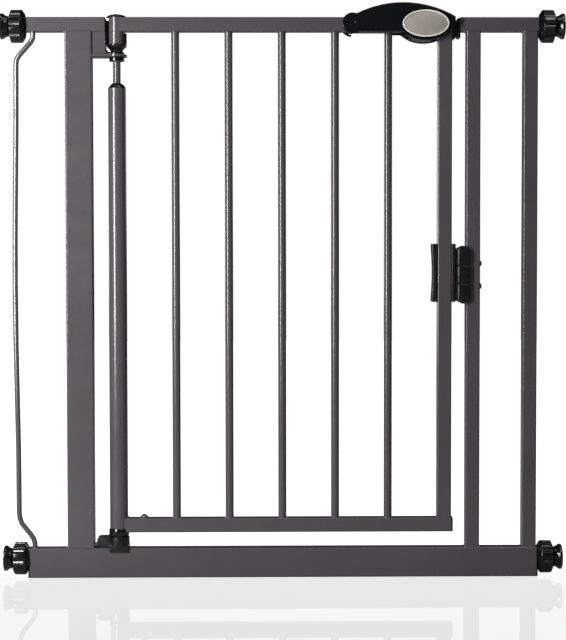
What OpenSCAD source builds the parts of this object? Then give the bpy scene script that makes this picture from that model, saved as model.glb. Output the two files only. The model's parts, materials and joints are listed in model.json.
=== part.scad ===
// Pressure-fit stair gate: a U-shaped frame held between two walls by four wound adjusters,
// a barred leaf on a pin hinge, and a lift-lever latch with a push button.
// Millimetres. X runs across the doorway from hinge to latch, Y is the depth of the gate, Z is up.

/* [Overall] */
// Width between the outer faces of the wall cups, with every adjuster wound in
gate_w = 752; // [700:1:920]
// Height of the top face of the rails
gate_h = 750; // [620:1:950]

/* [Tubes] */
// Side of the square tubes
tube_s = 19; // [17:0.5:24]
// Wall of every tube
tube_wall = 1.2; // [1:0.1:1.5]
// Outside corner radius of the square and flat tubes
tube_corner = 2; // [1.6:0.1:3]
// Height of the floor rail
base_h = 40; // [34:1:60]
// Depth of the floor rail and the hinge post
base_d = 20; // [18:0.5:30]
// Width of the hinge post
hinge_post_w = 36; // [25:1:50]
// Diameter of the long hinge tube
hinge_tube_d = 24.5; // [22:0.5:30]
// Diameter of the short upper hinge tube
upper_tube_d = 20.5; // [18:0.5:24]
// Diameter of the leaf's bars
bar_d = 11; // [8:0.5:14]

/* [Layout] */
// From the wall cup's face to the end of the rails
adjuster_reach = 35; // [33:0.5:45]
// From the rail ends to the near face of the hinge post
left_bay = 51; // [40:0.5:70]
// From centre to centre of the two posts on the latch side
post_pitch = 76.5; // [50:0.5:90]
// From the hinge post's face to the hinge axis
hinge_offset = 32.5; // [30:0.5:45]
// Gap between the leaf's stile and the latch post
leaf_gap = 19; // [18:0.5:24]
// Height of the leaf's lower rail above the floor rail
leaf_clear = 21; // [15:1:40]
// Number of bars in the leaf
bar_count = 5; // [3:1:7]
// From the hinge axis to the first bar
first_bar = 78; // [60:1:90]
// From the last bar to the middle of the stile
last_bar = 75.5; // [55:0.5:85]

/* [Adjusters] */
// Diameter of the threaded spindles
spindle_d = 10; // [8:1:12]
// Length of a spindle
spindle_len = 78; // [70:1:95]
// Diameter of the handwheels
wheel_d = 43.6; // [36:0.2:60]
// Width of a handwheel's gripping rim
wheel_w = 14.5; // [8:0.5:14.5]
// Number of finger flutes round a handwheel
flutes = 10; // [6:1:14]
// Diameter of a wall cup's outer face
cup_d = 34; // [30:0.5:44]
// Diameter of the wall screw's hole
wall_screw_d = 4.5; // [3.5:0.1:5.5]

/* [Hinge] */
// Diameter of the upper hinge rod and of the lower pivot shaft
hinge_rod_d = 10.5; // [8:0.5:12]
// Radial clearance of the hinge bearings
hinge_fit = 0.05; // [0.02:0.01:0.1]
// Length of the short upper hinge tube
upper_tube_len = 36; // [30:1:50]
// Length of rod that shows between the tube cap and the eye
rod_show = 28; // [15:1:40]

/* [Latch] */
// From the lever's pivot to the right face of the stile
lever_arm = 133.5; // [120:0.5:150]
// Thickness of the lever's skirts and roof
lever_wall = 2.5; // [2:0.1:3]
// Half the depth of the lever outside
lever_half = 20; // [18:0.5:24]
// Half the width of the oval push button
button_a = 31; // [24:0.5:33]
// Half the height of the oval push button
button_b = 18; // [14:0.1:19]
// Room for the square latch bolt inside the rail, on each side
bolt_fit = 0.5; // [0.3:0.1:1]
// Length of bolt that stands out of the faceplate when latched
bolt_throw = 11; // [8:0.5:14]
// Thickness of the faceplate on the leaf's edge
faceplate_t = 6; // [3:0.5:6]

// Height of the middle of the guide half way up
mid_z = 407; // [250:1:550]
// Distance between the guide's two bolts
bolt_apart = 30.4; // [24:0.2:40]

/* [Gap bar] */
// Diameter of the bent rod beside the wall
gap_bar_d = 7; // [5:0.5:8]
// How far the bent rod stands out past the rail ends
gap_bar_out = 15; // [8:0.5:20]

/* [Hidden] */
$fn = 48;

slate = [0.36, 0.35, 0.36];
black = [0.06, 0.06, 0.07];
steel = [0.68, 0.69, 0.70];
taupe = [0.55, 0.53, 0.51];
rubber = [0.16, 0.16, 0.16];

// Clearance between pieces that move past each other, and the slip of a plug in its tube
gap = 0.35;
slip = 0.1;

// Frame
half_w = gate_w / 2;
rail_end = half_w - adjuster_reach;
top_z = gate_h - tube_s;
top_mid = gate_h - tube_s / 2;
hinge_post_x = -rail_end + left_bay + hinge_post_w / 2;
hinge_face = hinge_post_x + hinge_post_w / 2;
outer_post_x = rail_end - 0.5 - tube_s / 2;
latch_post_x = outer_post_x - post_pitch;
latch_face = latch_post_x - tube_s / 2;
stub_left = latch_face - 8.3;

// Hinge
hinge_x = hinge_face + hinge_offset;
tube_r = hinge_tube_d / 2;
tube_bore_r = tube_r - 1.5;
upper_r = upper_tube_d / 2;
upper_bore_r = upper_r - 1.5;
collar_r = tube_r + 1.25;
rod_r = hinge_rod_d / 2;
upper_tube_z = gate_h - upper_tube_len;
eye_z = upper_tube_z - 22;
eye_t = 12;
tab_z = eye_z + 5.5;
tab_t = 3;
eye_r = rod_r + 5.1;
cap_top_z = eye_z - rod_show;
hinge_tube_top = cap_top_z - 8;
socket_top = base_h + 15;
collar_z = socket_top + gap;
collar_t = 11;
hinge_tube_z = collar_z + collar_t;
socket_screw_x = [hinge_x - 23.5, hinge_x - 16.4];

// Leaf
stile_x = latch_face - leaf_gap - tube_s / 2;
stile_right = stile_x + tube_s / 2;
leaf_z = base_h + leaf_clear;
leaf_bars_z = leaf_z + tube_s;
bar_pitch = (stile_x - last_bar - hinge_x - first_bar) / (bar_count - 1);
rail_in = tube_s - 2 * tube_wall;

// Latch
pivot_x = stile_right - lever_arm;
lever_end = lever_arm + 3.2;
badge_x = lever_end - 39.8;
badge_z = -0.8;
bulge_a = button_a + 3;
bulge_b = button_b + 4;
arch_rise = 18;
arch_r = (lever_end ^ 2 / 4 + arch_rise ^ 2) / (2 * arch_rise);
arch_x = lever_end / 2 - 1;
arch_z = tube_s / 2 + arch_rise - arch_r;
skirt_z = -11.5;
button_fit = 0.35;
bolt_s = rail_in - 2 * bolt_fit;
pin_r = 3;
bolt_pin_r = 2;
bolt_back = 46;
bolt_pin_x = 41;
bolt_retract = 7.5;
lever_in = lever_half - lever_wall;
spring_len = 50;
spring_x1 = stile_right - bolt_back;
spring_x0 = spring_x1 - spring_len;
stop_x = hinge_x + 34;
keeper_x = stile_right + faceplate_t + 0.8;
nose_half = 5;
nose_low = -6;
nose_high = 3;
wedge_slope = 1.1;
wedge_x = lever_arm - bolt_pin_x + (bolt_pin_r + 0.4) * sqrt(1 + wedge_slope ^ 2);

// Guide and block half way up
bolt_heights = [for (s = [-1, 1]) mid_z + s * bolt_apart / 2];

// Adjusters
wheel_cone = 3.6;
cup_len = 10.5;
wheel_gap = 0.4;
high_z = top_mid - 2;
low_z = base_h - 14.5;

// Each adjuster: [side, height of its axis, height of its rail, depth of its rail, lower face of its rail]
function adjuster(top, side) =
    [side, top ? high_z : low_z, top ? tube_s : base_h, top ? tube_s : base_d, top ? top_z : 0];

module rounded(w, d, r) {
    square([w - 2 * r, d], center = true);
    square([w, d - 2 * r], center = true);
    for (x = [-1, 1], y = [-1, 1])
        translate([x * (w / 2 - r), y * (d / 2 - r)]) circle(r);
}

module ring_of(w, d) {
    difference() {
        rounded(w, d, tube_corner);
        rounded(w - 2 * tube_wall, d - 2 * tube_wall, max(tube_corner - tube_wall, 0.4));
    }
}

// Square or flat tube standing on z0
module tube_z(x, w, d, z0, z1) {
    translate([x, 0, z0]) linear_extrude(z1 - z0) ring_of(w, d);
}

// Square or flat tube lying along X, its lower face at z0
module tube_x(x0, x1, h, d, z0) {
    translate([x0, 0, z0 + h / 2]) rotate([90, 0, 90]) linear_extrude(x1 - x0) ring_of(d, h);
}

module rod_z(x, r, z0, z1) {
    translate([x, 0, z0]) cylinder(r = r, h = z1 - z0);
}

module rod_x(r, x0, x1, z) {
    translate([x0, 0, z]) rotate([0, 90, 0]) cylinder(r = r, h = x1 - x0);
}

module rod_y(x, z, r, y0, y1) {
    translate([x, y1, z]) rotate([90, 0, 0]) cylinder(r = r, h = y1 - y0);
}

module box(x0, x1, y0, y1, z0, z1) {
    translate([x0, y0, z0]) cube([x1 - x0, y1 - y0, z1 - z0]);
}

function ellipse(a, b, n = 64) = [for (i = [0 : n - 1]) [a * cos(360 * i / n), b * sin(360 * i / n)]];

// An upright outline in X and Z, drawn out along Y
module upright(y0, y1) {
    translate([0, y1, 0]) rotate([90, 0, 0]) linear_extrude(y1 - y0) children();
}

// ---- Frame ----

module base_rail() {
    color(slate) difference() {
        tube_x(-rail_end, rail_end, base_h, base_d, 0);
        rod_z(hinge_x, rod_r, base_h - 5, base_h + 1);
        for (x = socket_screw_x) rod_z(x, 1.6, base_h - 5, base_h + 1);
    }
}

module hinge_post() {
    color(slate) tube_z(hinge_post_x, hinge_post_w, base_d, base_h, top_z);
}

module top_left_rail() {
    color(slate) tube_x(-rail_end, hinge_x - 15, tube_s, tube_s, top_z);
}

// Tab that carries the eye, with the gusset between it and the rail stub
module hinge_bracket() {
    color(slate) difference() {
        union() {
            box(hinge_face, hinge_x - rod_r, -14, 14, tab_z, tab_z + tab_t);
            box(hinge_face, hinge_x - 15, -7, 7, tab_z + tab_t, top_z);
            rod_z(hinge_x, 14, tab_z, tab_z + tab_t);
        }
        rod_z(hinge_x, eye_r - 2, tab_z - 1, tab_z + tab_t + 1);
    }
}

// Bush pressed in the tab's eye, with a tongue that runs up the end of the gusset and the rail
module hinge_eye_bush() {
    color(black) difference() {
        union() {
            box(hinge_x - 15, hinge_x - 4, -6.5, 6.5, tab_z + tab_t, eye_z + eye_t);
            box(hinge_x - 15, hinge_x - 11.8, -6.5, 6.5, tab_z + tab_t, eye_z + eye_t + 2.5);
            box(hinge_x - 15, hinge_x - 14, -6.5, 6.5, tab_z + tab_t, gate_h - 1.5);
            rod_z(hinge_x, eye_r, eye_z, tab_z);
            rod_z(hinge_x, eye_r - 2, tab_z, tab_z + tab_t);
            rod_z(hinge_x, eye_r, tab_z + tab_t, eye_z + eye_t);
        }
        rod_z(hinge_x, rod_r + hinge_fit, eye_z - 1, eye_z + eye_t + 1);
    }
}

module latch_post() {
    color(slate) difference() {
        tube_z(latch_post_x, tube_s, tube_s, base_h, top_z);
        for (z = bolt_heights) rod_x(2.6, latch_face - 1, latch_face + tube_s + 1, z);
    }
}

module outer_post() {
    color(slate) tube_z(outer_post_x, tube_s, tube_s, base_h, top_z);
}

module top_right_rail() {
    color(slate) tube_x(stub_left, rail_end, tube_s, tube_s, top_z);
}

// The bent rod's middle line, from the stub rail down to the floor rail, as [x, z]
gap_x0 = -rail_end + 8;
gap_x1 = -rail_end - gap_bar_out + 0.5;
gap_x2 = -rail_end + 6;
gap_path = [
    [gap_x0, top_z], [gap_x0, top_z - 8], [gap_x0 - 3, top_z - 13.5], [gap_x1 + 4, top_z - 31],
    [gap_x1 + 0.8, top_z - 36.5], [gap_x1 - 0.2, top_z - 44],
    for (i = [1 : 7]) [gap_x1 - 0.2 - 3.3 * sin(22.5 * i) ^ 2, top_z - 44 + (base_h + 103 - top_z) * i / 8],
    [gap_x1 - 0.4, base_h + 48], [gap_x1 + 0.6, base_h + 39], [gap_x1 + 3, base_h + 32.5],
    [gap_x2 - 5.4, base_h + 17.5], [gap_x2 - 1.6, base_h + 11.5], [gap_x2, base_h + 5], [gap_x2, base_h]
];

module gap_bar() {
    sides = 16;
    n = len(gap_path);
    // each ring lies in the plane that halves the bend between its two neighbours
    function heading(i) =
        let (a = gap_path[max(i - 1, 0)], b = gap_path[min(i + 1, n - 1)], d = b - a) d / norm(d);
    function flat_heading(i) = (i == 0 || i == n - 1) ? [0, -1] : heading(i);
    points = [
        for (i = [0 : n - 1], k = [0 : sides - 1])
            let (h = flat_heading(i), q = 360 * k / sides)
            let (c = gap_bar_d / 2 * cos(q), s = gap_bar_d / 2 * sin(q))
                [gap_path[i][0] - h[1] * c, s, gap_path[i][1] + h[0] * c]
    ];
    walls = [
        for (i = [0 : n - 2], k = [0 : sides - 1])
            let (a = i * sides + k, b = i * sides + (k + 1) % sides) [a, b, b + sides, a + sides]
    ];
    first = [for (k = [0 : sides - 1]) sides - 1 - k];
    last = [for (k = [0 : sides - 1]) (n - 1) * sides + k];
    color(slate) polyhedron(points, concat(walls, [first, last]), convexity = 6);
}

// Insert in the end of the right-hand stub, with the pocket that the bolt enters
module latch_keeper() {
    plug = rail_in - 2 * slip;
    color(black) difference() {
        union() {
            box(keeper_x, stub_left, -tube_s / 2, tube_s / 2, top_z - 8.5, gate_h - 1.5);
            box(stub_left, stub_left + 18, -plug / 2, plug / 2, top_mid - plug / 2, top_mid + plug / 2);
        }
        box(keeper_x - 1, stub_left + 14, -nose_half - gap, nose_half + gap,
            top_mid + nose_low - gap, top_mid + nose_high + gap);
    }
}

// Guide that wraps three sides of the latch post, in three ribbed lengths
module mid_keeper() {
    d = tube_s / 2;
    left = latch_face - 12.9;
    right = latch_face + 5.6;
    peak = left + 9;
    color(black) intersection() {
        difference() {
            union() {
                for (span = [[-39, -12.8], [-11.4, 11.4], [12.8, 39]])
                    box(left, right, -d - 5, d + 5, mid_z + span[0], mid_z + span[1]);
                box(left + 1.2, right - 1.2, -d - 3.8, d + 3.8, mid_z - 38, mid_z + 38);
            }
            box(latch_face, latch_face + 20, -d, d, mid_z - 50, mid_z + 50);
            // slanted edges either side of the ramp that meets the leaf
            for (s = [-1, 1])
                translate([left, s * (d + 5), mid_z]) rotate([0, 0, 45]) cube([3.6, 3.6, 90], center = true);
            for (z = bolt_heights) rod_x(2.6, left + 5, latch_face + 1, z);
        }
        upright(-30, 30) translate([0, mid_z]) polygon([[left, -34.5], [peak, -39], [right - 2, -36.5],
            [right, -30], [right, 29], [right - 2, 35.5], [peak, 39], [left, 34.5]]);
    }
}

module keeper_bolts() {
    right = latch_face + tube_s;
    color(slate) for (z = bolt_heights) {
        rod_x(2.5, latch_face - 6, right, z);
        translate([right, 0, z]) rotate([0, 90, 0]) rotate_extrude()
            polygon([[0, 0], [4.9, 0], [4.9, 0.5], [2.7, 2.8], [0, 2.8]]);
    }
}

// Moulding that sits over the floor rail and carries the lower pivot
module hinge_socket() {
    lip = 3;
    back = base_d / 2;
    ear_x = hinge_x - 29;
    color(black) difference() {
        union() {
            rod_z(hinge_x, collar_r, base_h, socket_top);
            for (s = [0, 1]) mirror([0, s, 0]) {
                box(hinge_x - 12, hinge_x + 13.5, back, back + lip, base_h - 5, base_h + 4);
            }
            box(hinge_x - 12, hinge_x + 13.5, -back, back, base_h, base_h + 4);
            // ear with a rounded boss over a fin that tapers towards the post
            upright(-9, 9) {
                translate([ear_x + 4.6, base_h + 10.9]) circle(4.6);
                translate([ear_x + 4.6, base_h + 6.3]) square([14, 9.2]);
                polygon([[ear_x - 3, base_h + 3.6], [ear_x - 1, base_h + 2.4], [ear_x + 6, base_h],
                    [ear_x + 20, base_h], [ear_x + 20, base_h + 8], [ear_x + 6, base_h + 7],
                    [ear_x - 1, base_h + 6.4], [ear_x - 3, base_h + 5.6]]);
            }
        }
        rod_z(hinge_x, rod_r, base_h - 1, socket_top + 1);
        // the ear keeps clear of the collar that turns above the barrel
        rod_z(hinge_x, collar_r + gap, socket_top, socket_top + collar_t);
        for (x = socket_screw_x) {
            rod_z(x, 1.6, base_h - 1, base_h + 20);
            rod_z(x, 3.3, base_h + 10, base_h + 20);
        }
    }
}

module socket_screws() {
    color(steel) for (x = socket_screw_x) {
        rod_z(x, 1.6, base_h - 8, base_h + 10);
        rod_z(x, 3.2, base_h + 10, base_h + 12.5);
    }
}

module pivot_shaft() {
    color(steel) rod_z(hinge_x, rod_r, base_h - 10, hinge_tube_z + 70);
}

// ---- Adjusters ----

// A turned piece on an adjuster's axis: the outline is [distance outwards from the rail end, radius]
module turned(side, z, outline) {
    translate([side * rail_end, 0, z]) rotate([0, side * 90, 0]) rotate_extrude()
        polygon([for (p = outline) [p[1], p[0]]]);
}

// Cap in the end of a rail, bored for the spindle
module end_cap(a) {
    w = a[3];
    h = a[2];
    z = a[4] + h / 2;
    inner_w = w - 2 * tube_wall - 2 * slip;
    inner_h = h - 2 * tube_wall - 2 * slip;
    color(black) difference() {
        union() {
            translate([a[0] * rail_end, 0, z]) rotate([90, 0, 90 * a[0]]) linear_extrude(2)
                rounded(w, h, tube_corner);
            translate([a[0] * rail_end, 0, z]) rotate([90, 0, -90 * a[0]]) linear_extrude(14)
                rounded(inner_w, inner_h, 1);
        }
        turned(a[0], a[1], [[-15, 0], [-15, spindle_d / 2 + 0.25], [3, spindle_d / 2 + 0.25], [3, 0]]);
    }
}

// Threaded rod that slides out of the rail and carries the foot
module spindle(a) {
    tip = adjuster_reach - 4.5;
    r = spindle_d / 2;
    color(steel) turned(a[0], a[1], [[tip - spindle_len, 0], [tip - spindle_len, r - 1],
        [tip - spindle_len + 1, r], [tip, r], [tip, 0]]);
}

// Foot pressed on the spindle's end, with a relief over the wall screw's head
module foot(a) {
    face = adjuster_reach - 2.5;
    r = spindle_d / 2;
    color(rubber) turned(a[0], a[1], [[face - 8, r], [face - 8, r + 3], [face - 4, r + 6], [face, r + 6],
        [face, r - 0.4], [face - 2, r - 0.4], [face - 2, r]]);
}

// Cup screwed to the wall, which the foot sits in
module wall_cup(a) {
    face = adjuster_reach;
    rim = face - cup_len;
    r = spindle_d / 2 + 6;
    color(black) turned(a[0], a[1], [[face, wall_screw_d / 2], [face, cup_d / 2], [face - 3.5, cup_d / 2],
        [face - 7, r + 3.4], [rim, r + 2.3], [rim, r + slip], [face - 2.5, r + slip],
        [face - 2.5, wall_screw_d / 2]]);
}

// Nut with a fluted rim that bears on the end cap and draws the spindle out
module handwheel(a) {
    x0 = 2 + wheel_gap;
    x1 = x0 + wheel_cone;
    x2 = x1 + wheel_w;
    x3 = adjuster_reach - cup_len - 1;
    r = wheel_d / 2;
    bore = spindle_d / 2 + 0.06;
    color(black) difference() {
        turned(a[0], a[1], [[x0, bore], [x0, r - 5.3], [x1, r], [x2, r],
            [x3, r - 6.8], [x3, bore]]);
        for (i = [0 : flutes - 1])
            translate([a[0] * (rail_end + x1 + 1), 0, a[1]]) rotate([360 * (i + 0.5) / flutes, 0, 0])
                translate([0, 0, r + 2.2]) rotate([0, a[0] * 90, 0]) cylinder(r = 4.4, h = wheel_w + 4);
    }
}

// ---- Leaf ----

module leaf_top_rail() {
    slot = bolt_retract + 2;
    color(slate) difference() {
        tube_x(hinge_x + 2, stile_right, tube_s, tube_s, top_z);
        rod_z(hinge_x, upper_r, top_z - 1, gate_h + 1);
        rod_y(pivot_x, top_mid, pin_r, -tube_s, tube_s);
        // slots that the bolt's cross pin slides in
        box(stile_right - bolt_pin_x - slot, stile_right - bolt_pin_x, -tube_s, tube_s,
            top_mid - bolt_pin_r - gap, top_mid + bolt_pin_r + gap);
        rod_y(stile_right - bolt_pin_x, top_mid, bolt_pin_r + gap, -tube_s, tube_s);
        rod_y(stile_right - bolt_pin_x - slot, top_mid, bolt_pin_r + gap, -tube_s, tube_s);
    }
}

module leaf_bottom_rail() {
    color(slate) difference() {
        tube_x(hinge_x + 2, stile_right, tube_s, tube_s, leaf_z);
        rod_z(hinge_x, tube_r, leaf_z - 1, leaf_z + tube_s + 1);
        rod_z(hinge_x, collar_r + slip, leaf_z - 1, hinge_tube_z + slip);
        rod_z(stop_x, 2, leaf_z + tube_s - 5, leaf_z + tube_s + 1);
    }
}

module leaf_stile() {
    color(slate) tube_z(stile_x, tube_s, tube_s, leaf_bars_z, top_z);
}

module hinge_tube() {
    color(slate) difference() {
        rod_z(hinge_x, tube_r, hinge_tube_z, hinge_tube_top);
        rod_z(hinge_x, tube_bore_r, hinge_tube_z - 1, hinge_tube_top + 1);
    }
}

module upper_hinge_tube() {
    color(slate) difference() {
        rod_z(hinge_x, upper_r, upper_tube_z, gate_h);
        rod_z(hinge_x, upper_bore_r, upper_tube_z - 1, gate_h + 1);
    }
}

// Low domed cap over the upper tube
module upper_tube_cap() {
    rim = upper_r + 3.5;
    dome = 29.5;
    color(black) translate([hinge_x, 0, gate_h]) rotate_extrude() union() {
        intersection() {
            translate([0, 4.4 - dome]) circle(dome, $fn = 180);
            square([rim, 5]);
        }
        translate([0, -9]) square([upper_bore_r, 9]);
    }
}

// Cup under the upper tube, with a sleeve up behind it and a neck down to the eye
module upper_bush() {
    r = upper_r + 3.35;
    cup = upper_tube_z;
    color(black) {
        translate([hinge_x, 0, cup]) rotate_extrude()
            polygon([[rod_r, -9.6], [rod_r + 2.6, -9.6], [rod_r + 3.6, -6.6], [r - 2.6, -5], [r, -1.6],
                [r, 0],
                [upper_bore_r, 0], [upper_bore_r, 12], [rod_r, 12]]);
        difference() {
            rod_z(hinge_x, r, cup, gate_h - 4);
            rod_z(hinge_x, upper_r, cup - 1, gate_h);
            box(hinge_x - 20, hinge_x + 20, -20, -1.5, cup - 1, gate_h);
            box(hinge_x, hinge_x + 20, -20, 20, top_z - 2, gate_h);
        }
    }
}

module hinge_rod() {
    color(slate) rod_z(hinge_x, rod_r, hinge_tube_top - 25, gate_h - 12);
}

module tube_cap() {
    r = tube_r + 0.6;
    dome = 13.5;
    color(black) translate([hinge_x, 0, hinge_tube_top]) difference() {
        rotate_extrude() union() {
            intersection() {
                translate([0, 8 - dome]) circle(dome, $fn = 120);
                square([r, 10]);
            }
            translate([0, -18]) square([tube_bore_r, 18]);
        }
        translate([0, 0, -20]) cylinder(r = rod_r, h = 40);
    }
}

// Collar in the foot of the hinge tube, which turns on the pivot shaft
module tube_collar() {
    r = collar_r;
    color(black) translate([hinge_x, 0, collar_z]) rotate_extrude()
        polygon([[rod_r + hinge_fit, 0], [r - 1.5, 0], [r, 1.5], [r, collar_t - 3], [r - 1, collar_t],
            [tube_bore_r, collar_t], [tube_bore_r, collar_t + 22], [rod_r + hinge_fit, collar_t + 22]]);
}

// Coil round the pivot shaft inside the hinge tube
module torsion_spring() {
    turns = 9;
    per_turn = 14;
    sides = 6;
    mean_r = (tube_bore_r + rod_r) / 2;
    wire = 0.9;
    z0 = collar_z + collar_t + 24;
    pitch = 3.6;
    n = turns * per_turn;
    points = [
        for (i = [0 : n], k = [0 : sides - 1])
            let (t = 360 * i / per_turn, q = 360 * k / sides, r = mean_r + wire * cos(q))
                [r * cos(t), r * sin(t), pitch * i / per_turn + wire * sin(q)]
    ];
    walls = [
        for (i = [0 : n - 1], k = [0 : sides - 1])
            let (a = i * sides + k, b = i * sides + (k + 1) % sides) [a, a + sides, b + sides, b]
    ];
    color(steel) translate([hinge_x, 0, z0]) polyhedron(points,
        concat(walls, [[for (k = [0 : sides - 1]) k],
            [for (k = [0 : sides - 1]) n * sides + sides - 1 - k]]),
        convexity = 10);
}

module leaf_bars() {
    color(slate) for (i = [0 : bar_count - 1])
        rod_z(hinge_x + first_bar + i * bar_pitch, bar_d / 2, leaf_bars_z, top_z);
}

module rail_end_cap() {
    plug = rail_in - 2 * slip;
    color(black) {
        translate([stile_right, 0, leaf_z + tube_s / 2]) rotate([90, 0, 90]) linear_extrude(2.2)
            rounded(tube_s, tube_s, tube_corner);
        translate([stile_right - 12, 0, leaf_z + tube_s / 2]) rotate([90, 0, 90]) linear_extrude(12)
            rounded(plug, plug, 0.6);
    }
}

// Domed buffer bolt on the lower rail
module stop_bolt() {
    color(black) translate([stop_x, 0, leaf_bars_z]) rotate_extrude() union() {
        intersection() {
            translate([0, -1]) circle(6, $fn = 96);
            square([5.5, 5]);
        }
        translate([0, -tube_wall - 2]) square([2, tube_wall + 2]);
    }
}

// Block round the back and both sides of the stile, facing the guide on the latch post
module stile_block() {
    d = tube_s / 2;
    color(black) difference() {
        box(stile_x - d - 7.4, stile_right + 5.2, -d, d + 3.5, mid_z - 36.5, mid_z + 41.5);
        box(stile_x - d, stile_right, -d - 1, d, mid_z - 60, mid_z + 60);
        rod_y(stile_x - d - 6 - 380, mid_z + 2.5, 380, -d - 1, d + 4.5, $fn = 720);
    }
}

// ---- Latch ----

// Side outline of the lever about its pivot, inset by t; the slot lets the lower edge run on down
module lever_outline(t, open) {
    circle(14 - t);
    intersection() {
        translate([arch_x, arch_z]) circle(arch_r - t, $fn = 240);
        union() {
            translate([0, skirt_z - open]) square([badge_x - 29 + open, 60]);
            translate([badge_x - 30, -4]) square([lever_end - t - badge_x + 30, 50]);
        }
    }
    intersection() {
        translate([badge_x, badge_z]) polygon(ellipse(bulge_a - t, bulge_b - t));
        translate([0, -40]) square([lever_end - t, 80]);
    }
}

module handle_lever() {
    rail_half = tube_s / 2;
    well = 6.5;
    color(black) translate([pivot_x, 0, top_mid]) difference() {
        union() {
            difference() {
                upright(-lever_half, lever_half) lever_outline(0, 0);
                upright(-lever_in, lever_in) lever_outline(lever_wall, 4);
            }
            // floors behind the button and the rear plate, and the wedges that push the bolt's pin
            for (s = [0, 1]) mirror([0, s, 0]) {
                upright(-lever_in - 0.5, -lever_half + 8) intersection() {
                    lever_outline(1, 0);
                    translate([badge_x, badge_z]) polygon(ellipse(bulge_a, bulge_b));
                }
                upright(-lever_half + 8, -lever_half + 9.6) polygon([[wedge_x - 10 * wedge_slope, -10],
                    [wedge_x + 7, -10], [wedge_x + 7, 3], [wedge_x + 3 * wedge_slope, 3]]);
            }
        }
        for (s = [0, 1]) mirror([0, s, 0]) {
            upright(-lever_half - 1, -lever_half + well) translate([badge_x, badge_z])
                polygon(ellipse(button_a + button_fit, button_b + button_fit));
        }
        // stem hole in the front floor, pivot bores
        rod_y(badge_x, badge_z, 3.06, -lever_half, -lever_half + 9);
        rod_y(0, 0, pin_r + hinge_fit, -lever_half - 1, lever_half + 1);
        // the rear skirt ends higher than the front one, beside the pivot
        box(-15, 48, lever_in - 1, lever_half + 1, -30, -9);
        // openings for the rail at the pivot end, underneath, and at the stile
        box(-15, -3, -rail_half - 0.7, rail_half + 0.7, -15, 15);
        box(-15, badge_x - 19, -rail_half - 1.5, rail_half + 1.5, -30, 0);
        box(lever_arm - 28, lever_end + 1, -rail_half - 1.5, rail_half + 1.5, -30, 5.8);
        box(lever_arm - 15, lever_arm + 0.4, -rail_half - 0.7, rail_half + 0.7, 0, rail_half + 0.4);
    }
}

module lever_pivot_pin() {
    color(steel) rod_y(pivot_x, top_mid, pin_r, -lever_half + 0.4, lever_half - 0.4);
}

// Plate on the leaf's edge, with the hole that the bolt's nose comes through
module latch_faceplate() {
    right = stile_right + faceplate_t;
    color(black) difference() {
        upright(-8, 8) polygon([[stile_right, top_z - 10.5], [right - 4, top_z - 10.5], [right, top_z - 7],
            [right, top_mid + 5], [stile_right, top_mid + 5]]);
        box(stile_right - 1, right + 1, -nose_half - gap, nose_half + gap, top_mid + nose_low - gap,
            top_mid + nose_high + gap);
    }
}

module latch_bolt() {
    nose = stile_right + faceplate_t + bolt_throw;
    half = bolt_s / 2;
    color(black) difference() {
        union() {
            box(stile_right - bolt_back, stile_right - 9, -half, half, top_mid - half, top_mid + half);
            upright(-nose_half, nose_half) polygon([[stile_right - 9, top_mid + nose_low],
                [nose, top_mid + nose_low], [nose, top_mid + nose_high - 3],
                [nose - 3, top_mid + nose_high], [stile_right - 9, top_mid + nose_high]]);
        }
        rod_y(stile_right - bolt_pin_x, top_mid, bolt_pin_r, -bolt_s, bolt_s);
    }
}

module bolt_pin() {
    color(steel) rod_y(stile_right - bolt_pin_x, top_mid, bolt_pin_r, -lever_half + 8.4, lever_half - 8.4);
}

module bolt_spring() {
    turns = 9;
    per_turn = 12;
    sides = 6;
    coil_r = 5.6;
    wire = 0.6;
    n = turns * per_turn;
    len_x = spring_len - 2 * wire - 0.2;
    points = [
        for (i = [0 : n], k = [0 : sides - 1])
            let (t = 360 * i / per_turn, q = 360 * k / sides, r = coil_r + wire * cos(q))
                [len_x * i / n + wire * sin(q), r * cos(t), r * sin(t)]
    ];
    walls = [
        for (i = [0 : n - 1], k = [0 : sides - 1])
            let (a = i * sides + k, b = i * sides + (k + 1) % sides) [a, a + sides, b + sides, b]
    ];
    color(steel) translate([spring_x0 + wire + 0.1, 0, top_mid]) polyhedron(points,
        concat(walls, [[for (k = [0 : sides - 1]) k],
            [for (k = [0 : sides - 1]) n * sides + sides - 1 - k]]),
        convexity = 10);
}

// Plug pressed into the rail, which the bolt's spring pushes on
module spring_stop() {
    color(black) difference() {
        union() {
            translate([spring_x0 - 10, 0, top_mid]) rotate([90, 0, 90]) linear_extrude(10)
                rounded(rail_in, rail_in, max(tube_corner - tube_wall, 0.4));
            rod_x(4, spring_x0 - 1, spring_x0 + 7, top_mid);
        }
        rod_x(1.6, spring_x0 - 11, spring_x0 + 8, top_mid);
    }
}

// Oval push button with a raised rim and a stem that slides in the lever's floor
module release_button() {
    front = -lever_half - 4;
    color(black) translate([pivot_x, 0, top_mid]) {
        difference() {
            upright(front, -lever_half + 2.6) translate([badge_x, badge_z])
                polygon(ellipse(button_a, button_b));
            upright(front - 1, front + 1.5) translate([badge_x, badge_z])
                polygon(ellipse(button_a - 2.5, button_b - 2.5));
        }
        rod_y(badge_x, badge_z, 3, -lever_half + 2.6, -lever_half + 5);
    }
}

module button_badge() {
    front = -lever_half - 4;
    color(taupe) translate([pivot_x, 0, top_mid]) upright(front + 0.5, front + 1.5)
        translate([badge_x, badge_z]) polygon(ellipse(button_a - 2.6, button_b - 2.6));
}

module rear_plate() {
    back = lever_half + 4;
    color(black) translate([pivot_x, 0, top_mid]) upright(lever_half - 6.5, back)
        translate([badge_x, badge_z])
            polygon(ellipse(button_a + button_fit - slip, button_b + button_fit - slip));
}

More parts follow.
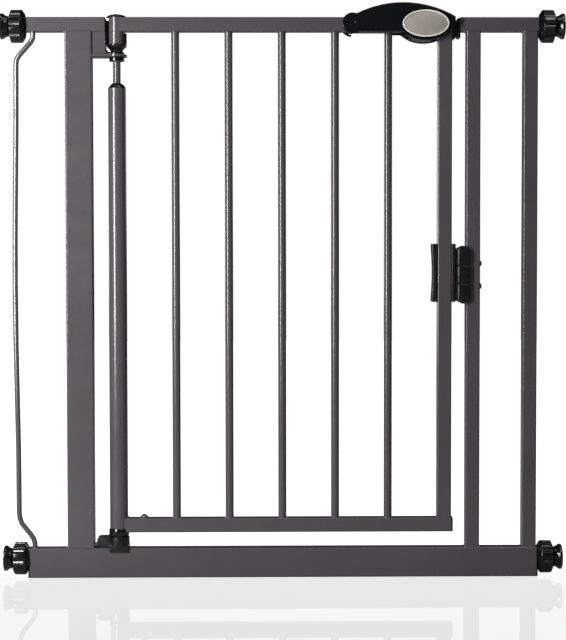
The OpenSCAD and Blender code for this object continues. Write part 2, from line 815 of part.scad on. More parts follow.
base_rail();
hinge_post();
top_left_rail();
hinge_bracket();
hinge_eye_bush();
latch_post();
outer_post();
top_right_rail();
gap_bar();
latch_keeper();
mid_keeper();
keeper_bolts();
hinge_socket();
socket_screws();
pivot_shaft();
end_cap(adjuster(true, -1));  // end_cap_top_left
end_cap(adjuster(false, -1));  // end_cap_bottom_left
end_cap(adjuster(true, 1));  // end_cap_top_right
end_cap(adjuster(false, 1));  // end_cap_bottom_right
spindle(adjuster(true, -1));  // spindle_top_left
spindle(adjuster(false, -1));  // spindle_bottom_left
spindle(adjuster(true, 1));  // spindle_top_right
spindle(adjuster(false, 1));  // spindle_bottom_right
foot(adjuster(true, -1));  // foot_top_left
foot(adjuster(false, -1));  // foot_bottom_left
foot(adjuster(true, 1));  // foot_top_right
foot(adjuster(false, 1));  // foot_bottom_right
wall_cup(adjuster(true, -1));  // wall_cup_top_left
wall_cup(adjuster(false, -1));  // wall_cup_bottom_left
wall_cup(adjuster(true, 1));  // wall_cup_top_right
wall_cup(adjuster(false, 1));  // wall_cup_bottom_right
handwheel(adjuster(true, -1));  // handwheel_top_left
handwheel(adjuster(false, -1));  // handwheel_bottom_left
handwheel(adjuster(true, 1));  // handwheel_top_right
handwheel(adjuster(false, 1));  // handwheel_bottom_right
leaf_top_rail();
leaf_bottom_rail();
leaf_stile();
hinge_tube();
upper_hinge_tube();
upper_tube_cap();
upper_bush();
hinge_rod();
tube_cap();
tube_collar();
torsion_spring();
leaf_bars();
rail_end_cap();
stop_bolt();
stile_block();
handle_lever();
lever_pivot_pin();
latch_faceplate();
latch_bolt();
bolt_pin();
bolt_spring();
spring_stop();
release_button();
button_badge();
rear_plate();
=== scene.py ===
"""Pressure-fit stair gate: the looks that go round the fixed CAD frame.

Metres throughout. X runs across the doorway from hinge to latch, Y is the depth, Z is up.
"""
import json
import math

import bmesh
import bpy
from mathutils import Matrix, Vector


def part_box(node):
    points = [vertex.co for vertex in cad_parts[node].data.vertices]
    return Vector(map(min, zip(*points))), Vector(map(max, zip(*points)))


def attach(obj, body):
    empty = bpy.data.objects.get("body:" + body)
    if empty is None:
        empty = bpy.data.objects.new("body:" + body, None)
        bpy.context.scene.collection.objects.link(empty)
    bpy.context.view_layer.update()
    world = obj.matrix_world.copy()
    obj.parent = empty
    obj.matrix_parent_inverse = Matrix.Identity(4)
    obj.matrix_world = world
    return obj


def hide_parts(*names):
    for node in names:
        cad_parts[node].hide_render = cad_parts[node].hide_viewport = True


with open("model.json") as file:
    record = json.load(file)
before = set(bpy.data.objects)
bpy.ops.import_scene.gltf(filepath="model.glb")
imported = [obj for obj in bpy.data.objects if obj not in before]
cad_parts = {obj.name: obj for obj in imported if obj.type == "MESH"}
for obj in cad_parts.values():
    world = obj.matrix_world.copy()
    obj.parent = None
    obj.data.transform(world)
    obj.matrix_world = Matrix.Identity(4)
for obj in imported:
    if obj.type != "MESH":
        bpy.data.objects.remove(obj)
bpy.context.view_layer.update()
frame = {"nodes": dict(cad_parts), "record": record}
parts = frame["nodes"]
MM = 0.001
SAME_PLACE = 0.002 * MM      # vertices nearer than this are one vertex


# ---------------------------------------------------------------- finishes

def shader_group(name, inputs, outputs):
    """A shader node group with named sockets, and its input and output nodes."""
    group = bpy.data.node_groups.new(name, "ShaderNodeTree")
    for label, kind, value in inputs:
        socket = group.interface.new_socket(label, in_out="INPUT", socket_type=kind)
        socket.default_value = value
    for label, kind in outputs:
        group.interface.new_socket(label, in_out="OUTPUT", socket_type=kind)
    return group, group.nodes.new("NodeGroupInput"), group.nodes.new("NodeGroupOutput")


def add_noise(tree, vector, scale, detail=3.0, roughness=0.55):
    noise = tree.nodes.new("ShaderNodeTexNoise")
    noise.inputs["Detail"].default_value = detail
    noise.inputs["Roughness"].default_value = roughness
    tree.links.new(vector, noise.inputs["Vector"])
    if isinstance(scale, (int, float)):
        noise.inputs["Scale"].default_value = scale
    else:
        tree.links.new(scale, noise.inputs["Scale"])
    return noise.outputs["Fac"]


def add_range(tree, value, low, high, to_low, to_high):
    """Value stretched from low..high to to_low..to_high, which may be numbers or sockets."""
    ramp = tree.nodes.new("ShaderNodeMapRange")
    tree.links.new(value, ramp.inputs["Value"])
    limits = {"From Min": low, "From Max": high, "To Min": to_low, "To Max": to_high}
    for label, number in limits.items():
        if isinstance(number, (int, float)):
            ramp.inputs[label].default_value = number
        else:
            tree.links.new(number, ramp.inputs[label])
    return ramp.outputs["Result"]


def add_colour_mix(tree, factor, first, second):
    mix = tree.nodes.new("ShaderNodeMix")
    mix.data_type = "RGBA"
    for label, value in (("Factor", factor), ("A", first), ("B", second)):
        socket = [s for s in mix.inputs if s.name == label and s.enabled][0]
        if isinstance(value, bpy.types.NodeSocket):
            tree.links.new(value, socket)
        else:
            socket.default_value = value
    return [s for s in mix.outputs if s.enabled][0]


def add_sum(tree, first, second, weight):
    """first + weight * second."""
    node = tree.nodes.new("ShaderNodeMath")
    node.operation = "MULTIPLY_ADD"
    tree.links.new(second, node.inputs[0])
    node.inputs[1].default_value = weight
    tree.links.new(first, node.inputs[2])
    return node.outputs[0]


SKIN_OUTPUTS = [
    ("Colour", "NodeSocketColor"),
    ("Roughness", "NodeSocketFloat"),
    ("Height", "NodeSocketFloat"),
]


def give_skin(group, give, colour, gloss, height):
    """Sends a group's three results out of it."""
    for label, value in (("Colour", colour), ("Roughness", gloss), ("Height", height)):
        group.links.new(value, give.inputs[label])


def make_orange_peel():
    """Baked powder: a soft orange-peel skin, fine speckle and slow drifts of shade."""
    group, take, give = shader_group(
        "orange_peel",
        [
            ("Position", "NodeSocketVector", (0.0, 0.0, 0.0)),
            ("Deep Colour", "NodeSocketColor", (0.07, 0.07, 0.07, 1.0)),
            ("Pale Colour", "NodeSocketColor", (0.1, 0.1, 0.1, 1.0)),
            ("Least Roughness", "NodeSocketFloat", 0.3),
            ("Most Roughness", "NodeSocketFloat", 0.4),
            ("Peel Scale", "NodeSocketFloat", 600.0),
        ],
        SKIN_OUTPUTS,
    )
    place = take.outputs["Position"]
    drift = add_noise(group, place, scale=9.0, detail=2.0)
    speckle = add_noise(group, place, scale=2600.0, detail=1.0)
    peel = add_noise(group, place, take.outputs["Peel Scale"], detail=2.0, roughness=0.4)
    patches = add_noise(group, place, scale=60.0, detail=3.0)
    shade = add_sum(group, add_range(group, drift, 0.3, 0.7, 0.15, 0.75), speckle, 0.25)
    colour = add_colour_mix(group, shade, take.outputs["Deep Colour"],
                            take.outputs["Pale Colour"])
    gloss = add_range(group, patches, 0.35, 0.65,
                      take.outputs["Least Roughness"], take.outputs["Most Roughness"])
    give_skin(group, give, colour, gloss, add_sum(group, peel, speckle, 0.12))
    return group


def make_moulded_grain():
    """Injection moulded plastic: faint flow marks, a fine eroded grain and small scuffs."""
    group, take, give = shader_group(
        "moulded_grain",
        [
            ("Position", "NodeSocketVector", (0.0, 0.0, 0.0)),
            ("Base Colour", "NodeSocketColor", (0.006, 0.006, 0.007, 1.0)),
            ("Scuff Colour", "NodeSocketColor", (0.02, 0.02, 0.022, 1.0)),
            ("Least Roughness", "NodeSocketFloat", 0.16),
            ("Most Roughness", "NodeSocketFloat", 0.3),
            ("Grain Scale", "NodeSocketFloat", 2200.0),
        ],
        SKIN_OUTPUTS,
    )
    place = take.outputs["Position"]
    grain = add_noise(group, place, take.outputs["Grain Scale"], detail=2.0)
    flow = add_noise(group, place, scale=35.0, detail=3.0)
    marks = add_noise(group, place, scale=240.0, detail=4.0, roughness=0.7)
    scuff = add_range(group, marks, 0.62, 0.75, 0.0, 1.0)
    colour = add_colour_mix(group, scuff, take.outputs["Base Colour"],
                            take.outputs["Scuff Colour"])
    gloss = add_range(group, add_sum(group, flow, scuff, 0.25), 0.35, 0.75,
                      take.outputs["Least Roughness"], take.outputs["Most Roughness"])
    give_skin(group, give, colour, gloss, add_sum(group, flow, grain, 0.35))
    return group


def make_drawn_lines():
    """Drawn or brushed metal: lines stretched along one direction over cloudy plating."""
    group, take, give = shader_group(
        "drawn_lines",
        [
            ("Position", "NodeSocketVector", (0.0, 0.0, 0.0)),
            ("Dull Colour", "NodeSocketColor", (0.42, 0.41, 0.39, 1.0)),
            ("Bright Colour", "NodeSocketColor", (0.62, 0.62, 0.6, 1.0)),
            ("Least Roughness", "NodeSocketFloat", 0.22),
            ("Most Roughness", "NodeSocketFloat", 0.42),
            ("Stretch", "NodeSocketVector", (1.0, 1.0, 1.0)),
        ],
        SKIN_OUTPUTS,
    )
    place = take.outputs["Position"]
    stretched = group.nodes.new("ShaderNodeVectorMath")
    stretched.operation = "MULTIPLY"
    group.links.new(place, stretched.inputs[0])
    group.links.new(take.outputs["Stretch"], stretched.inputs[1])
    lines = add_noise(group, stretched.outputs[0], scale=1.0, detail=2.0)
    cloud = add_noise(group, place, scale=120.0, detail=3.0)
    shade = add_sum(group, add_range(group, cloud, 0.3, 0.7, 0.0, 0.6), lines, 0.5)
    colour = add_colour_mix(group, shade, take.outputs["Dull Colour"],
                            take.outputs["Bright Colour"])
    gloss = add_range(group, shade, 0.2, 0.9, take.outputs["Most Roughness"],
                      take.outputs["Least Roughness"])
    give_skin(group, give, colour, gloss, lines)
    return group


ORANGE_PEEL = make_orange_peel()
MOULDED_GRAIN = make_moulded_grain()
DRAWN_LINES = make_drawn_lines()


def bare_material(name):
    """A material with nothing in it but its output."""
    material = bpy.data.materials.new(name)
    material.use_nodes = True
    tree = material.node_tree
    tree.nodes.clear()
    return material, tree, tree.nodes.new("ShaderNodeOutputMaterial")


def finish_material(name, group, values, bump, metallic=0.0, specular=0.5):
    """A material whose skin comes from one of the groups; bump is its strength and its depth."""
    material, tree, output = bare_material(name)
    shader = tree.nodes.new("ShaderNodeBsdfPrincipled")
    shader.inputs["Metallic"].default_value = metallic
    shader.inputs["Specular IOR Level"].default_value = specular
    skin = tree.nodes.new("ShaderNodeGroup")
    skin.node_tree = group
    for label, value in values.items():
        skin.inputs[label].default_value = value
    place = tree.nodes.new("ShaderNodeTexCoord")
    relief = tree.nodes.new("ShaderNodeBump")
    relief.inputs["Strength"].default_value = bump[0]
    relief.inputs["Distance"].default_value = bump[1]
    tree.links.new(place.outputs["Object"], skin.inputs["Position"])
    tree.links.new(skin.outputs["Colour"], shader.inputs["Base Color"])
    tree.links.new(skin.outputs["Roughness"], shader.inputs["Roughness"])
    tree.links.new(skin.outputs["Height"], relief.inputs["Height"])
    tree.links.new(relief.outputs["Normal"], shader.inputs["Normal"])
    tree.links.new(shader.outputs["BSDF"], output.inputs["Surface"])
    return material


slate_coat = finish_material(
    "slate_powder_coat", ORANGE_PEEL,
    {
        "Deep Colour": (0.058, 0.0535, 0.057, 1.0),
        "Pale Colour": (0.072, 0.067, 0.071, 1.0),
        "Least Roughness": 0.20,
        "Most Roughness": 0.27,
        "Peel Scale": 520.0,
    },
    (0.22, 0.00004))
gloss_black = finish_material(
    "gloss_black_plastic", MOULDED_GRAIN,
    {
        "Base Colour": (0.0035, 0.0038, 0.0042, 1.0),
        "Scuff Colour": (0.009, 0.009, 0.010, 1.0),
        "Least Roughness": 0.14,
        "Most Roughness": 0.24,
        "Grain Scale": 1500.0,
    },
    (0.25, 0.00004))
satin_black = finish_material(
    "satin_black_plastic", MOULDED_GRAIN,
    {
        "Base Colour": (0.0045, 0.0045, 0.005, 1.0),
        "Scuff Colour": (0.014, 0.014, 0.015, 1.0),
        "Least Roughness": 0.26,
        "Most Roughness": 0.42,
        "Grain Scale": 2600.0,
    },
    (0.45, 0.00005))
zinc_plate = finish_material(
    "zinc_plated_steel", DRAWN_LINES,
    {
        "Dull Colour": (0.40, 0.39, 0.37, 1.0),
        "Bright Colour": (0.62, 0.62, 0.60, 1.0),
        "Least Roughness": 0.20,
        "Most Roughness": 0.40,
        "Stretch": (1600.0, 260.0, 260.0),
    },
    (0.2, 0.00003), metallic=1.0)
spring_steel = finish_material(
    "oiled_spring_steel", DRAWN_LINES,
    {
        "Dull Colour": (0.20, 0.20, 0.20, 1.0),
        "Bright Colour": (0.36, 0.36, 0.37, 1.0),
        "Least Roughness": 0.22,
        "Most Roughness": 0.36,
        "Stretch": (900.0, 900.0, 900.0),
    },
    (0.15, 0.00002), metallic=1.0)
badge_face = finish_material(
    "satin_taupe_badge", DRAWN_LINES,
    {
        "Dull Colour": (0.365, 0.33, 0.293, 1.0),
        "Bright Colour": (0.475, 0.435, 0.39, 1.0),
        "Least Roughness": 0.28,
        "Most Roughness": 0.40,
        "Stretch": (60.0, 2600.0, 2600.0),
    },
    (0.2, 0.00003), metallic=0.35)
bright_trim = finish_material(
    "polished_badge_trim", DRAWN_LINES,
    {
        "Dull Colour": (0.66, 0.64, 0.60, 1.0),
        "Bright Colour": (0.82, 0.80, 0.77, 1.0),
        "Least Roughness": 0.30,
        "Most Roughness": 0.42,
        "Stretch": (400.0, 400.0, 400.0),
    },
    (0.1, 0.00002), metallic=0.25)
foot_rubber = finish_material(
    "moulded_rubber", MOULDED_GRAIN,
    {
        "Base Colour": (0.014, 0.014, 0.014, 1.0),
        "Scuff Colour": (0.03, 0.03, 0.03, 1.0),
        "Least Roughness": 0.6,
        "Most Roughness": 0.8,
        "Grain Scale": 3200.0,
    },
    (0.6, 0.00008), specular=0.3)

CORNERS = ("top_left", "bottom_left", "top_right", "bottom_right")
FINISHES = {
    gloss_black: ["handle_lever", "release_button", "rear_plate", "latch_faceplate", "latch_bolt",
                  "upper_tube_cap", "upper_bush", "tube_cap", "tube_collar", "hinge_eye_bush",
                  "latch_keeper"]
                 + ["handwheel_" + c for c in CORNERS] + ["wall_cup_" + c for c in CORNERS],
    satin_black: ["hinge_socket", "mid_keeper", "stile_block", "rail_end_cap", "spring_stop"]
                 + ["end_cap_" + c for c in CORNERS],
    zinc_plate: ["socket_screws", "pivot_shaft", "bolt_pin", "lever_pivot_pin"]
                + ["spindle_" + c for c in CORNERS],
    spring_steel: ["torsion_spring", "bolt_spring"],
    badge_face: ["button_badge"],
    foot_rubber: ["foot_" + c for c in CORNERS],
}


def paint(piece, material):
    """One finish all over a piece."""
    if piece.data.materials:
        for index in range(len(piece.data.materials)):
            piece.data.materials[index] = material
    else:
        piece.data.materials.append(material)


for part in parts.values():
    paint(part, slate_coat)
for material, names in FINISHES.items():
    for name in names:
        paint(parts[name], material)


# ---------------------------------------------------------------- tools for modelling

BODY_OF_PART = {
    part: body
    for body, members in frame["record"]["behaviour"]["bodies"].items()
    for part in members
}


def select_only(piece):
    """Makes one piece the only thing selected, and the active one."""
    bpy.ops.object.select_all(action="DESELECT")
    piece.select_set(True)
    bpy.context.view_layer.objects.active = piece


def pick_vertices(wanted):
    """In edit mode, selects the vertices whose place passes the test, and nothing else."""
    bpy.ops.mesh.select_mode(type="VERT")
    bpy.ops.mesh.select_all(action="DESELECT")
    mesh = bmesh.from_edit_mesh(bpy.context.object.data)
    for vertex in mesh.verts:
        vertex.select_set(bool(wanted(vertex.co)))
    mesh.select_flush_mode()
    bmesh.update_edit_mesh(bpy.context.object.data)


def apply_modifier(piece, kind, **values):
    """Adds one modifier with its values and applies it."""
    select_only(piece)
    modifier = piece.modifiers.new(kind.lower(), kind)
    for label, value in values.items():
        setattr(modifier, label, value)
    bpy.ops.object.modifier_apply(modifier=modifier.name)


SHARP_EDGE = math.radians(35.0)
NEARLY_FLAT = math.radians(0.8)
# Degrees between faces up to which each kind of piece is shaded smooth.
MOULDED_SMOOTH = 32.0
THREAD_SMOOTH = 40.0
BAND_SMOOTH = 50.0
ROUND_SMOOTH = 60.0


def close_up(piece, smooth):
    """Merges doubles, turns the faces out, smooths the shading up to an angle in degrees, and
    puts the origin at the world's."""
    select_only(piece)
    bpy.ops.object.transform_apply(location=True, rotation=True, scale=True)
    bpy.ops.object.mode_set(mode="EDIT")
    bpy.ops.mesh.select_all(action="SELECT")
    bpy.ops.mesh.remove_doubles(threshold=SAME_PLACE)
    bpy.ops.mesh.normals_make_consistent(inside=False)
    bpy.ops.object.mode_set(mode="OBJECT")
    bpy.ops.object.shade_smooth_by_angle(angle=math.radians(smooth))


def settle(piece, material, body, *replaced):
    """Gives a finished piece its finish, slot and body, and hides the CAD parts it stands for."""
    paint(piece, material)
    if replaced:
        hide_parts(*replaced)
    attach(piece, body)
    return piece


def eased_copy(part, material, width, segments=2):
    """A merged copy of a CAD part with its sharp edges rounded, which stands for the part."""
    piece = bpy.data.objects.new(part + "_moulding", parts[part].data.copy())
    bpy.context.scene.collection.objects.link(piece)
    select_only(piece)
    bpy.ops.mesh.customdata_custom_splitnormals_clear()
    bpy.ops.object.mode_set(mode="EDIT")
    bpy.ops.mesh.select_all(action="SELECT")
    bpy.ops.mesh.remove_doubles(threshold=SAME_PLACE)
    bpy.ops.mesh.dissolve_limited(angle_limit=NEARLY_FLAT)
    bpy.ops.object.mode_set(mode="OBJECT")
    apply_modifier(piece, "BEVEL", width=width, segments=segments, limit_method="ANGLE",
                   angle_limit=SHARP_EDGE, use_clamp_overlap=False, miter_outer="MITER_ARC")
    close_up(piece, MOULDED_SMOOTH)
    return settle(piece, material, BODY_OF_PART[part], part)


def centre_of(part):
    """The middle of a CAD part's box."""
    low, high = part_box(part)
    return (low + high) / 2.0


def half_of(part, axis):
    """Half of a CAD part's size along an axis."""
    low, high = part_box(part)
    return (high[axis] - low[axis]) / 2.0


def joined(name, pieces, material, body):
    """Several solids as one piece."""
    bpy.ops.object.select_all(action="DESELECT")
    for piece in pieces:
        piece.select_set(True)
    bpy.context.view_layer.objects.active = pieces[0]
    bpy.ops.object.join()
    whole = bpy.context.object
    whole.name = name
    close_up(whole, ROUND_SMOOTH)
    return settle(whole, material, body)


# ---------------------------------------------------------------- plastic and metal pieces

eased_copy("handle_lever", gloss_black, 1.2 * MM, 4)
button_moulding = eased_copy("release_button", gloss_black, 0.6 * MM, 3)
eased_copy("button_badge", badge_face, 0.3 * MM)
eased_copy("rear_plate", gloss_black, 0.8 * MM, 3)
eased_copy("latch_faceplate", gloss_black, 0.5 * MM)
eased_copy("latch_keeper", gloss_black, 0.5 * MM)
eased_copy("mid_keeper", satin_black, 0.8 * MM, 3)
eased_copy("stile_block", satin_black, 0.8 * MM, 3)
eased_copy("hinge_socket", satin_black, 0.7 * MM, 3)
for part in ("hinge_eye_bush", "upper_bush", "tube_collar", "upper_tube_cap", "tube_cap"):
    eased_copy(part, gloss_black, 0.5 * MM)
for corner in CORNERS:
    eased_copy("handwheel_" + corner, gloss_black, 0.7 * MM, 3)
    eased_copy("wall_cup_" + corner, gloss_black, 0.6 * MM, 3)
    eased_copy("end_cap_" + corner, satin_black, 0.4 * MM)
    eased_copy("foot_" + corner, foot_rubber, 0.5 * MM)


# ---------------------------------------------------------------- trim round the badge

# The band's section from its outer edge to its inner one: mm inside the rim, and mm behind
# the front of the button.
BAND_SECTION = ((0.1, 1.1), (0.1, 0.55), (0.45, 0.2), (1.15, 0.04),
                (1.9, 0.2), (2.3, 0.55), (2.3, 1.1))
RIM_SUNK = 0.6 * MM


def oval_trim():
    """A bright raised band round the badge, let into the rim of the push button."""
    centre = centre_of("release_button")
    middle = (centre.x, 0.0, centre.z)
    half_x, half_z = half_of("release_button", 0), half_of("release_button", 2)
    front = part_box("release_button")[0][1]
    bpy.ops.object.select_all(action="DESELECT")
    bpy.ops.mesh.primitive_circle_add(vertices=96, radius=1.0, location=middle,
                                      rotation=(math.radians(90.0), 0.0, 0.0))
    piece = bpy.context.object
    piece.name = "badge_trim"
    bpy.ops.object.transform_apply(location=True, rotation=True, scale=True)
    bpy.ops.object.mode_set(mode="EDIT")
    bpy.ops.mesh.select_all(action="SELECT")
    at = (1.0, 1.0, 0.0)
    for number, (inward, depth) in enumerate(BAND_SECTION):
        wanted = (half_x - inward * MM, half_z - inward * MM, front + depth * MM)
        if number:
            bpy.ops.mesh.extrude_region_move()
        bpy.ops.transform.resize(value=(wanted[0] / at[0], 1.0, wanted[1] / at[1]),
                                 center_override=middle)
        bpy.ops.transform.translate(value=(0.0, wanted[2] - at[2], 0.0))
        at = wanted
    bpy.ops.mesh.select_all(action="DESELECT")
    bpy.ops.mesh.select_mode(type="EDGE")
    bpy.ops.mesh.select_non_manifold(extend=False)
    bpy.ops.mesh.bridge_edge_loops()
    bpy.ops.object.mode_set(mode="OBJECT")
    close_up(piece, BAND_SMOOTH)
    return settle(piece, bright_trim, "button")


def sink_button_rim():
    """Lowers the front of the button's rim, to make room for the trim."""
    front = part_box("release_button")[0][1]
    select_only(button_moulding)
    bpy.ops.object.mode_set(mode="EDIT")
    pick_vertices(lambda place: place.y < front + RIM_SUNK + 0.1 * MM)
    bpy.ops.transform.translate(value=(0.0, RIM_SUNK, 0.0))
    bpy.ops.object.mode_set(mode="OBJECT")


def pivot_plugs():
    """Black plugs over the ends of the lever's pivot pin."""
    low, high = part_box("lever_pivot_pin")
    middle = centre_of("lever_pivot_pin")
    proud, thick = 0.1 * MM, 0.3 * MM
    plugs = []
    for y in (low[1] - proud, high[1] + proud):
        bpy.ops.mesh.primitive_cylinder_add(vertices=48, radius=half_of("lever_pivot_pin", 0),
                                            depth=thick,
                                            location=(middle.x, y, middle.z),
                                            rotation=(math.radians(90.0), 0.0, 0.0))
        plugs.append(bpy.context.object)
    return joined("pivot_plugs", plugs, gloss_black, "leaf")


sink_button_rim()
oval_trim()
pivot_plugs()


# ---------------------------------------------------------------- welds

BAR_BEAD = 0.8 * MM
STILE_BEAD = 1.3 * MM
CORNER_BEAD = 1.4 * MM
HINGE_BEAD = 1.6 * MM


def roughen(amount, seed):
    """Moves every vertex of the active piece a little, as a hand-laid bead wanders."""
    bpy.ops.object.mode_set(mode="EDIT")
    bpy.ops.mesh.select_all(action="SELECT")
    bpy.ops.transform.vertex_random(offset=amount, seed=seed)
    bpy.ops.object.mode_set(mode="OBJECT")
    return bpy.context.object


def weld_ring(x, z, radius, bead):
    """A weld bead all round a bar that meets a rail at a height."""
    bpy.ops.mesh.primitive_torus_add(location=(x, 0.0, z), major_radius=radius,
                                     minor_radius=bead, major_segments=40, minor_segments=10)
    return roughen(bead * 0.16, int(abs(x) * 1000) + 3)


def weld_seam(x, z, bead, half):
    """A short bead along the depth of a corner between two square tubes."""
    bpy.ops.mesh.primitive_uv_sphere_add(segments=16, ring_count=24, radius=1.0,
                                         location=(x, 0.0, z),
                                         rotation=(math.radians(90.0), 0.0, 0.0))
    bpy.context.object.scale = (bead, bead, half)
    bpy.ops.object.transform_apply(location=False, rotation=True, scale=True)
    return roughen(bead * 0.12, int(abs(x) * 1000) + 7)


def bar_welds():
    """A ring where each end of a bar meets its rail."""
    low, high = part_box("leaf_bars")
    radius = half_of("leaf_bars", 1)
    on_the_side = 0.02 * MM
    centres = sorted({round(v.co.x, 5) for v in parts["leaf_bars"].data.vertices
                      if abs(abs(v.co.y) - radius) < on_the_side})
    outside, sunk = 0.15 * MM, 0.1 * MM
    rings = [weld_ring(x, z, radius + outside, BAR_BEAD)
             for x in centres for z in (low[2] + sunk, high[2] - sunk)]
    joined("bar_welds", rings, slate_coat, "leaf")


def leaf_welds():
    """Seams where the rails of the leaf meet its stile and its two hinge tubes."""
    rail_low, rail_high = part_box("leaf_bottom_rail")
    depth = half_of("leaf_bottom_rail", 1)
    stile_low, stile_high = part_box("leaf_stile")
    seams = [weld_seam(stile_low[0], z, STILE_BEAD, depth - 0.6 * MM)
             for z in (stile_low[2], stile_high[2])]
    tube_side = centre_of("hinge_tube").x + half_of("hinge_tube", 0)
    seams += [weld_seam(tube_side - 0.1 * MM, z, HINGE_BEAD, depth - 1.0 * MM)
              for z in (rail_low[2], rail_high[2])]
    seams.append(weld_seam(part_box("upper_hinge_tube")[1][0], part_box("leaf_top_rail")[0][2],
                           CORNER_BEAD, depth - 1.0 * MM))
    joined("leaf_welds", seams, slate_coat, "leaf")


def frame_welds():
    """Seams at the foot and the head of the three posts."""
    seams = []
    for post in ("hinge_post", "latch_post", "outer_post"):
        low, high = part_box(post)
        seams += [weld_seam(x, z, CORNER_BEAD, half_of(post, 1) - 0.8 * MM)
                  for x in (low[0], high[0]) for z in (low[2], high[2])]
    joined("frame_welds", seams, slate_coat, "frame")


bar_welds()
leaf_welds()
frame_welds()


# ---------------------------------------------------------------- ribs on the socket

RIB_COUNT = 10
FIRST_RIB = -84.0           # degrees round the socket from the latch side, front first
RIB_STEP = 16.0
RIB_RADIUS = 0.75 * MM


def socket_ribs():
    """Fine upright ribs on the latch side of the lower hinge socket."""
    middle = centre_of("pivot_shaft").x
    around = half_of("tube_collar", 0) - 0.2 * MM
    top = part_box("tube_collar")[0][2] - 0.8 * MM
    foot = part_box("base_rail")[1][2] + 5.5 * MM
    ribs = []
    for number in range(RIB_COUNT):
        angle = math.radians(FIRST_RIB + RIB_STEP * number)
        bpy.ops.mesh.primitive_cylinder_add(
            vertices=12, radius=RIB_RADIUS, depth=top - foot,
            location=(middle + around * math.cos(angle), around * math.sin(angle),
                      (top + foot) / 2.0))
        ribs.append(bpy.context.object)
    joined("socket_ribs", ribs, satin_black, "frame")


socket_ribs()


# ---------------------------------------------------------------- threads

PITCH = 1.5 * MM
THREAD_DEPTH = 0.62 * MM


def threaded_spindle(corner):
    """A rolled screw thread along a spindle, which stands for it."""
    part = "spindle_" + corner
    low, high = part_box(part)
    crest = half_of(part, 1)
    root = crest - THREAD_DEPTH
    length = high[0] - low[0]
    turns = int(length / PITCH) - 2
    right = "right" in corner
    profile = ((0.0, root), (0.28 * PITCH, crest), (0.44 * PITCH, crest),
               (0.72 * PITCH, root), (PITCH, root))
    bpy.ops.object.select_all(action="DESELECT")
    bpy.ops.mesh.primitive_plane_add(size=1.0, location=(0.0, 0.0, 0.0))
    piece = bpy.context.object
    piece.name = "thread_" + corner
    bpy.ops.object.mode_set(mode="EDIT")
    bpy.ops.mesh.select_mode(type="VERT")
    bpy.ops.mesh.select_all(action="SELECT")
    bpy.ops.mesh.merge(type="CENTER")
    bpy.ops.transform.translate(value=(0.0, 0.0, root))
    for (along, out), (next_along, next_out) in zip(profile, profile[1:]):
        step = (next_along - along, 0.0, next_out - out)
        bpy.ops.mesh.extrude_region_move(TRANSFORM_OT_translate={"value": step})
    bpy.ops.object.mode_set(mode="OBJECT")
    apply_modifier(piece, "SCREW", axis="X", angle=math.tau, screw_offset=PITCH,
                   iterations=turns, steps=24, render_steps=24,
                   use_merge_vertices=True, merge_threshold=SAME_PLACE)
    bpy.ops.object.mode_set(mode="EDIT")
    bpy.ops.mesh.select_all(action="SELECT")
    bpy.ops.mesh.remove_doubles(threshold=SAME_PLACE)
    bpy.ops.mesh.select_all(action="DESELECT")
    bpy.ops.mesh.select_mode(type="EDGE")
    bpy.ops.mesh.select_non_manifold(extend=False)
    bpy.ops.mesh.edge_face_add()
    bpy.ops.object.mode_set(mode="OBJECT")
    start = low[0] if right else -high[0]
    inset = (length - (turns + 1) * PITCH) / 2.0
    piece.location = (start + inset, 0.0, (low[2] + high[2]) / 2.0)
    if not right:
        bpy.ops.object.transform_apply(location=True, rotation=True, scale=True)
        piece.rotation_euler = (0.0, 0.0, math.pi)
    close_up(piece, THREAD_SMOOTH)
    return settle(piece, zinc_plate, part, part)


for corner in CORNERS:
    threaded_spindle(corner)


# ---------------------------------------------------------------- stage, lights and camera

FLOOR_BELOW = 1.4 * MM
FLOOR_POLISH = 0.17
# The floor's own brightness, by depth: it rises to the gate, and then more behind it, so that
# the floor runs into the white beyond.
FRONT, FRONT_GLOW = -0.35, 0.93
GATE, GATE_GLOW = 0.0, 0.97
BEHIND, BEHIND_EXTRA = 0.15, 0.4


def white_floor():
    """A pale studio floor with a faint polish. The camera sees it glow; all else is lit by it
    as by grey paper."""
    bpy.ops.object.select_all(action="DESELECT")
    bpy.ops.mesh.primitive_plane_add(size=40.0, location=(0.0, 0.0, -FLOOR_BELOW))
    floor = bpy.context.object
    floor.name = "studio_floor"
    material, tree, output = bare_material("white_floor")
    place = tree.nodes.new("ShaderNodeTexCoord")
    depth = tree.nodes.new("ShaderNodeSeparateXYZ")
    tree.links.new(place.outputs["Object"], depth.inputs["Vector"])
    pale = tree.nodes.new("ShaderNodeEmission")
    near = add_range(tree, depth.outputs["Y"], FRONT, GATE, FRONT_GLOW, GATE_GLOW)
    beyond = add_range(tree, depth.outputs["Y"], GATE, BEHIND, 0.0, 1.0)
    tree.links.new(add_sum(tree, near, beyond, BEHIND_EXTRA), pale.inputs["Strength"])
    polish = tree.nodes.new("ShaderNodeBsdfGlossy")
    polish.inputs["Roughness"].default_value = 0.02
    seen = tree.nodes.new("ShaderNodeMixShader")
    seen.inputs["Fac"].default_value = FLOOR_POLISH
    tree.links.new(pale.outputs["Emission"], seen.inputs[1])
    tree.links.new(polish.outputs["BSDF"], seen.inputs[2])
    paper = tree.nodes.new("ShaderNodeBsdfDiffuse")
    paper.inputs["Color"].default_value = (0.3, 0.3, 0.3, 1.0)
    which = tree.nodes.new("ShaderNodeLightPath")
    mix = tree.nodes.new("ShaderNodeMixShader")
    tree.links.new(which.outputs["Is Camera Ray"], mix.inputs["Fac"])
    tree.links.new(paper.outputs["BSDF"], mix.inputs[1])
    tree.links.new(seen.outputs["Shader"], mix.inputs[2])
    tree.links.new(mix.outputs["Shader"], output.inputs["Surface"])
    floor.data.materials.append(material)
    return floor


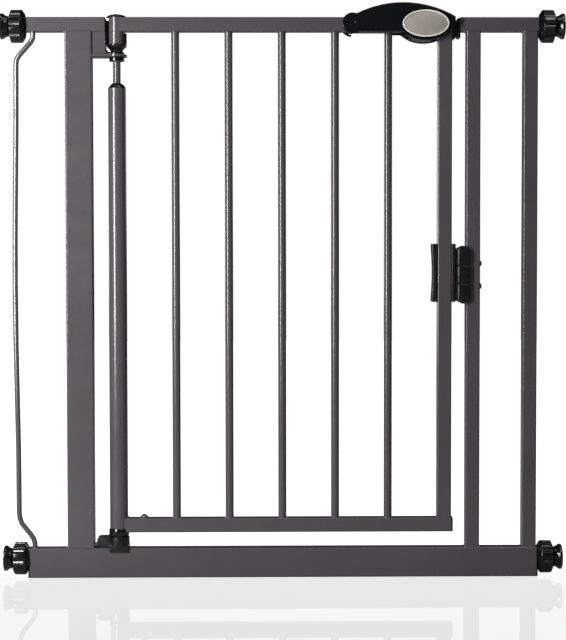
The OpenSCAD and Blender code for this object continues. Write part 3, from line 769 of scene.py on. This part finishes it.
def white_backdrop(floor):
    """A bright wall well behind the gate, which only the floor's polish and the leaf's stile
    pick up."""
    bpy.ops.object.select_all(action="DESELECT")
    bpy.ops.mesh.primitive_plane_add(size=16.0, location=(0.0, 6.0, 7.9),
                                     rotation=(math.radians(90.0), 0.0, 0.0))
    wall = bpy.context.object
    wall.name = "studio_backdrop"
    material, tree, output = bare_material("white_backdrop")
    glow = tree.nodes.new("ShaderNodeEmission")
    glow.inputs["Strength"].default_value = 1.0
    tree.links.new(glow.outputs["Emission"], output.inputs["Surface"])
    wall.data.materials.append(material)
    lit = bpy.data.collections.new("lit_by_backdrop")
    lit.objects.link(floor)
    lit.objects.link(parts["leaf_stile"])
    wall.light_linking.receiver_collection = lit


# Each soft box: its place, the point that it faces, its width, its height, and its watts.
SOFT_BOXES = {
    "key_left": ((-0.82, -0.84, 0.62), (-0.05, 0.0, 0.50), 0.12, 0.75, 20.0),
    "fill_high": ((0.9, -1.5, 2.6), (0.0, 0.0, 0.4), 1.2, 0.8, 15.0),
    "top_soft": ((0.0, -0.1, 2.4), (0.0, 0.0, 0.3), 2.2, 0.5, 9.0),
    "back_left": ((-1.2, 1.6, 1.0), (0.0, 0.0, 0.4), 0.8, 1.4, 12.0),
    "back_right": ((1.5, 2.2, 1.2), (0.0, 0.0, 0.4), 1.2, 1.4, 12.0),
}


def soft_box(name, place, target, width, height, power):
    """A rectangular area light at a place, facing a target."""
    lamp = bpy.data.lights.new(name, "AREA")
    lamp.shape = "RECTANGLE"
    lamp.size = width
    lamp.size_y = height
    lamp.energy = power
    light = bpy.data.objects.new(name, lamp)
    bpy.context.scene.collection.objects.link(light)
    light.location = place
    facing = Vector(target) - Vector(place)
    light.rotation_euler = facing.to_track_quat("-Z", "Y").to_euler()


def white_surround():
    """White seen straight on, and a dimmer grey for what surfaces pick up from round about."""
    world = bpy.data.worlds.new("white_surround")
    bpy.context.scene.world = world
    world.use_nodes = True
    tree = world.node_tree
    tree.nodes.clear()
    output = tree.nodes.new("ShaderNodeOutputWorld")
    seen = tree.nodes.new("ShaderNodeBackground")
    seen.inputs["Color"].default_value = (1.0, 1.0, 1.0, 1.0)
    seen.inputs["Strength"].default_value = 1.0
    felt = tree.nodes.new("ShaderNodeBackground")
    felt.inputs["Color"].default_value = (0.96, 0.97, 1.0, 1.0)
    felt.inputs["Strength"].default_value = 0.07
    which = tree.nodes.new("ShaderNodeLightPath")
    mix = tree.nodes.new("ShaderNodeMixShader")
    tree.links.new(which.outputs["Is Camera Ray"], mix.inputs["Fac"])
    tree.links.new(felt.outputs["Background"], mix.inputs[1])
    tree.links.new(seen.outputs["Background"], mix.inputs[2])
    tree.links.new(mix.outputs["Shader"], output.inputs["Surface"])


def front_camera():
    """A long lens a little above the middle of the gate, looking very slightly down at it."""
    down, level, aside = (math.radians(a) for a in (2.311, 0.08, -0.66))
    lens = bpy.data.cameras.new("front_camera")
    lens.lens = 92.14
    lens.sensor_width = 36.0
    lens.clip_end = 60.0
    camera = bpy.data.objects.new("front_camera", lens)
    bpy.context.scene.collection.objects.link(camera)
    camera.location = (-0.0253, -2.2, 0.4352)
    camera.rotation_euler = (math.radians(90.0) - down, level, aside)
    bpy.context.scene.camera = camera


white_backdrop(white_floor())
for name, setting in SOFT_BOXES.items():
    soft_box(name, *setting)
white_surround()
front_camera()
bpy.context.scene.view_settings.view_transform = "Standard"
